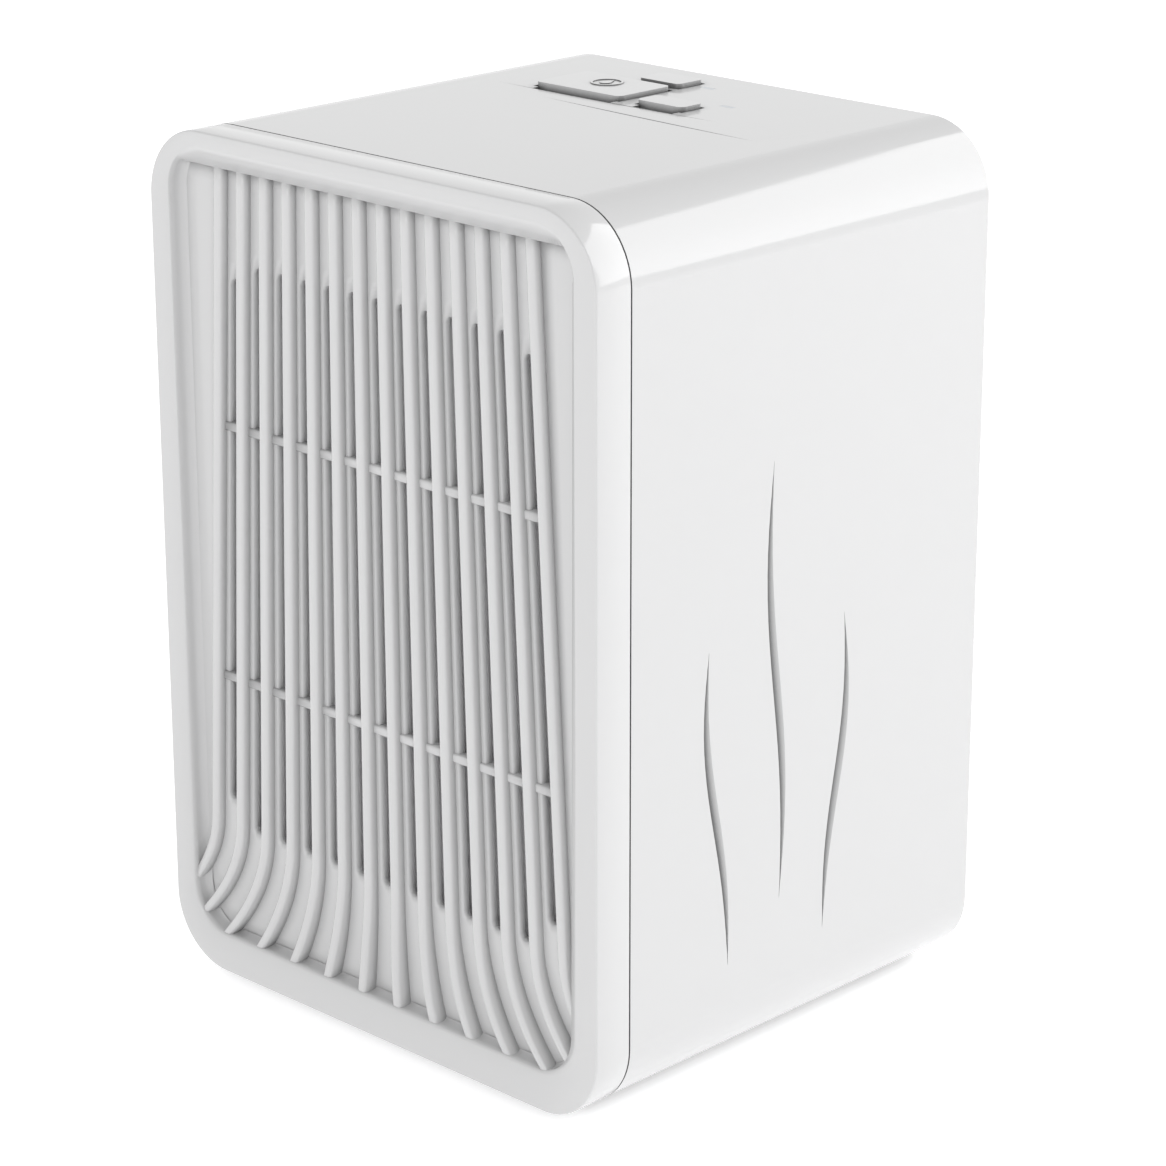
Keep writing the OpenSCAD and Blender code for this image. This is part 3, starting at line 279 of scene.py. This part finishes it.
def outline(inset):
    return rounded_loop(BODY_W - 2 * inset, BODY_TALL - 2 * inset, CORNER_R - inset, FOOT + BODY_TALL / 2)


def opening(inset):
    return rounded_loop(OPEN_W - 2 * inset, OPEN_HI - OPEN_LO - 2 * inset, OPEN_R - inset,
                        (OPEN_HI + OPEN_LO) / 2)


def loft(loops):
    """Closed rings of equal length joined by quads, the last ring back to the first."""
    n = len(loops[0])
    verts = [p for loop in loops for p in loop]
    faces = []
    for a in range(len(loops)):
        b = (a + 1) % len(loops)
        faces += [(a * n + i, a * n + (i + 1) % n, b * n + (i + 1) % n, b * n + i) for i in range(n)]
    return verts, faces


def at_depth(loop, y):
    return [(x, y, z) for x, z in loop]


def bezel():
    """Outer band, front face, bevelled lip, sloped top and coved walls of the grille opening."""
    loops = [at_depth(outline(1.5), BEZEL_BACK), at_depth(outline(0.25), BEZEL_BACK),
             at_depth(outline(0.07), BEZEL_BACK - 0.07), at_depth(outline(0), BEZEL_BACK - 0.25)]
    for i in range(7):
        a = math.radians(15 * i)
        loops.append(at_depth(outline(BEZEL_ROUND * (1 - math.cos(a))),
                              Y_FRONT + BEZEL_ROUND * (1 - math.sin(a))))
    shoulder = OPEN_HI - OPEN_R
    base = opening(0)
    inward = [(xn - x, zn - z) for (x, z), (xn, zn) in zip(base, opening(1))]
    lip, edge, shelf = [], [], []
    for (x, z), (dx, dz) in zip(base, inward):
        f = min(1.0, max(LIP_LEAST, (shoulder + 2 - z) / LIP_FADE + LIP_LEAST))
        right = min(1.0, max(0.0, (x - OPEN_W / 2 + OPEN_R) / OPEN_R))
        step = f * (LIP_IN + (LIP_IN_RIGHT - LIP_IN) * right)
        lip.append((x - dx * LIP_OUT * f, Y_FRONT, z - dz * LIP_OUT * f))
        edge.append((x + dx * step, Y_FRONT + LIP_DEPTH * f, z + dz * step))
        shelf.append((x + dx * step, Y_FRONT + FIN_DEEP, min(z + dz * step, FIN_TOP)))
    loops += [lip, edge, shelf]
    for i in range(7):
        a = math.radians(15 * i)
        grow, rise = 1 - math.cos(a), COVE * (1 - math.sin(a))
        loops.append([(x, DISH_Y, z) if z > FIN_TOP - 0.01 else
                      (x + dx * COVE * grow, DISH_Y - rise, z + dz * LEDGE * grow)
                      for (x, y, z), (dx, dz) in zip(shelf, inward)])
    return mesh_object("bezel", *loft(loops), PANEL, 40)


def grid_solid(rows, cols, place, keep):
    """Closed plate from a grid of front points: its back is flat, and cells that keep() refuses are open."""
    verts = [place(j, i) for i in range(rows + 1) for j in range(cols + 1)]
    count = len(verts)
    verts += [(x, DISH_Y + PLATE_T, z) for x, y, z in verts]
    front = {}
    for i in range(rows):
        for j in range(cols):
            if keep(j, i):
                a = i * (cols + 1) + j
                front[(j, i)] = (a, a + 1, a + cols + 2, a + cols + 1)
    faces = list(front.values()) + [tuple(count + v for v in reversed(q)) for q in front.values()]
    edges = {}
    for q in front.values():
        for a, b in zip(q, q[1:] + q[:1]):
            edges[(a, b)] = True
    faces += [(b, a, a + count, b + count) for a, b in edges if (b, a) not in edges]
    return verts, faces


def trough(k):
    """Concave floor between fins k and k + 1 with its round-ended air slot."""
    lo, hi = (EDGE_SLOT_LO, EDGE_SLOT_HI) if k in (0, FIN_COUNT - 2) else (SLOT_LO, SLOT_HI)
    r = SLOT_W / 2
    cols, slot_cols = 16, (4, 12)
    rows, slot_rows = 40, (14, 34)

    def place(j, i):
        u_in = -r + SLOT_W * (min(max(j, slot_cols[0]), slot_cols[1]) - slot_cols[0]) / 8
        lift = r - math.sqrt(max(0.0, r * r - u_in * u_in))
        a, b = lo + lift, hi - lift
        if i <= slot_rows[0]:
            z = OPEN_LO - 0.5 + (a - OPEN_LO + 0.5) * i / slot_rows[0]
        elif i <= slot_rows[1]:
            z = a + (b - a) * (i - slot_rows[0]) / (slot_rows[1] - slot_rows[0])
        else:
            z = b + (FIN_TOP + 0.6 - b) * (i - slot_rows[1]) / (rows - slot_rows[1])
        half = fin_pitch(z) / 2
        if j <= slot_cols[0]:
            u = -half + (half - r) * j / slot_cols[0]
        elif j <= slot_cols[1]:
            u = u_in
        else:
            u = r + (half - r) * (j - slot_cols[1]) / (cols - slot_cols[1])
        t = u / half
        return (inside(fin_x(k + 0.5, z) + u), DISH_Y + TROUGH_SAG * (0.5 - t * t), z)

    def keep(j, i):
        return not (slot_cols[0] <= j < slot_cols[1] and slot_rows[0] <= i < slot_rows[1])

    return grid_solid(rows, cols, place, keep)


def side_floor(side):
    """Flat floor between the outermost fin and the opening's wall."""
    def place(j, i):
        z = OPEN_LO - 0.5 + (FIN_TOP + 1.1 - OPEN_LO) * i / 40
        inner = inside(fin_x(0 if side < 0 else FIN_COUNT - 1, z))
        outer = side * (OPEN_W / 2 + HIDDEN)
        t = j / 3
        x = inner + (outer - inner) * t
        return (x, DISH_Y - TROUGH_SAG / 2 * (1 - t), z)

    return grid_solid(40, 3, place, lambda j, i: True)


def fin(k):
    """Fin with bevelled front edges, closed at its back and both ends."""
    section = [(-FIN_W / 2 - FIN_DRAFT, None), (-FIN_W / 2, FIN_BEVEL), (-FIN_FLAT / 2, 0),
               (FIN_FLAT / 2, 0), (FIN_W / 2, FIN_BEVEL), (FIN_W / 2 + FIN_DRAFT, None)]
    n, m = FIN_STEPS, len(section)
    verts, faces = [], []
    for i in range(n + 1):
        z = OPEN_LO - 1 + (FIN_TOP + 1.6 - OPEN_LO) * (i / n) ** 1.4
        verts += [(inside(fin_x(k, z) + u), DISH_Y + FIN_ROOT if back is None else fin_front(z) + back, z)
                  for u, back in section]
        if i:
            a = m * i
            faces += [(a - m + j, a - m + (j + 1) % m, a + (j + 1) % m, a + j) for j in range(m)]
    faces += [tuple(range(m)), tuple(reversed(range(n * m, n * m + m)))]
    return verts, faces


def joined(name, parts, mat, smooth=35.0, weld=False):
    verts, faces = [], []
    for v, f in parts:
        faces += [tuple(i + len(verts) for i in q) for q in f]
        verts += v
    return mesh_object(name, verts, faces, mat, smooth, weld)


def bar(z):
    """Crossbar over the slots, chamfered at its front edges."""
    half = fin_x(FIN_COUNT - 1, z) - 1
    y0, y1, e = DISH_Y - BAR_RISE, DISH_Y + PLATE_T, BAR_CHAMFER
    section = [(y1, -BAR_H / 2), (y0 + e, -BAR_H / 2), (y0, -BAR_H / 2 + e), (y0, BAR_H / 2 - e),
               (y0 + e, BAR_H / 2), (y1, BAR_H / 2)]
    m = len(section)
    verts = [(x, y, z + d) for x in (-half, half) for y, d in section]
    faces = [(j, (j + 1) % m, (j + 1) % m + m, j + m) for j in range(m)]
    faces += [tuple(range(m)), tuple(reversed(range(m, 2 * m)))]
    return verts, faces


front_pieces = [bezel(),
                joined("grille_floor", [trough(k) for k in range(FIN_COUNT - 1)]
                       + [side_floor(-1), side_floor(1)], PANEL, 50),
                joined("grille_fins", [fin(k) for k in range(FIN_COUNT)], PANEL, 25),
                joined("grille_bars", [bar(z) for z in BAR_Z], PANEL, 30)]
for piece in front_pieces:
    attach(piece, "housing")
    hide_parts("front_panel")

# Floor, lights, world
floor = bpy.data.objects.new("floor", bpy.data.meshes.new("floor"))
floor.data.from_pydata([(x * FLOOR_HALF, y * FLOOR_HALF, 0) for x, y in ((-1, -1), (1, -1), (1, 1), (-1, 1))],
                       [], [(0, 1, 2, 3)])
bpy.context.scene.collection.objects.link(floor)
floor_mat = surface("floor", (0.93, 0.93, 0.935), 0.6, bump=0.01, vary=0.004)
floor_shader = floor_mat.node_tree.nodes["Principled BSDF"]
floor_shader.inputs["Emission Color"].default_value = (1, 1, 1, 1)
floor_shader.inputs["Emission Strength"].default_value = FLOOR_GLOW
floor.data.materials.append(floor_mat)


def softbox(name, azimuth, distance, width, low, high, radiance):
    """Upright light panel: azimuth in degrees from +X towards +Y, edges in metres, facing the object."""
    data = bpy.data.lights.new(name, "AREA")
    data.shape = "RECTANGLE"
    data.size, data.size_y = width, high - low
    data.energy = radiance * math.pi * width * (high - low)
    o = bpy.data.objects.new(name, data)
    bpy.context.scene.collection.objects.link(o)
    a = math.radians(azimuth)
    o.location = (distance * math.cos(a), distance * math.sin(a), (low + high) / 2)
    o.rotation_euler = (math.radians(90), 0, a + math.radians(90))


softbox("softbox_right", 65.0, 1.5, 1.62, 0.16, 1.62, SOFTBOX)
softbox("softbox_fill", -76.0, 2.2, 1.3, 0.5, 1.6, FILL)

world = bpy.data.worlds.new("world")
bpy.context.scene.world = world
world.use_nodes = True
wt = world.node_tree
sky = wt.nodes.new("ShaderNodeTexCoord")
split = wt.nodes.new("ShaderNodeSeparateXYZ")
rise = wt.nodes.new("ShaderNodeMapRange")
rise.interpolation_type = "SMOOTHSTEP"
rise.inputs["From Min"].default_value, rise.inputs["From Max"].default_value = SKY_BAND
rise.inputs["To Min"].default_value, rise.inputs["To Max"].default_value = SKY_LEVELS
wt.links.new(sky.outputs["Generated"], split.inputs[0])
wt.links.new(split.outputs["Z"], rise.inputs["Value"])
wt.links.new(rise.outputs[0], wt.nodes["Background"].inputs[1])
wt.nodes["Background"].inputs[0].default_value = (1, 1, 1, 1)

cam_data = bpy.data.cameras.new("main")
cam = bpy.data.objects.new("main", cam_data)
bpy.context.scene.collection.objects.link(cam)
cam_data.sensor_width = CAMERA_SENSOR
cam_data.lens = CAMERA_LENS
cam.location = [c * BODY_H for c in CAMERA_AT]
cam.location.z += BODY_MID
cam.rotation_euler = (math.radians(90 - CAMERA_PITCH), math.radians(CAMERA_ROLL), math.radians(CAMERA_YAW))
cam_data.clip_start, cam_data.clip_end = 0.01, 50
bpy.context.scene.camera = cam
bpy.context.scene.view_settings.view_transform = "Standard"
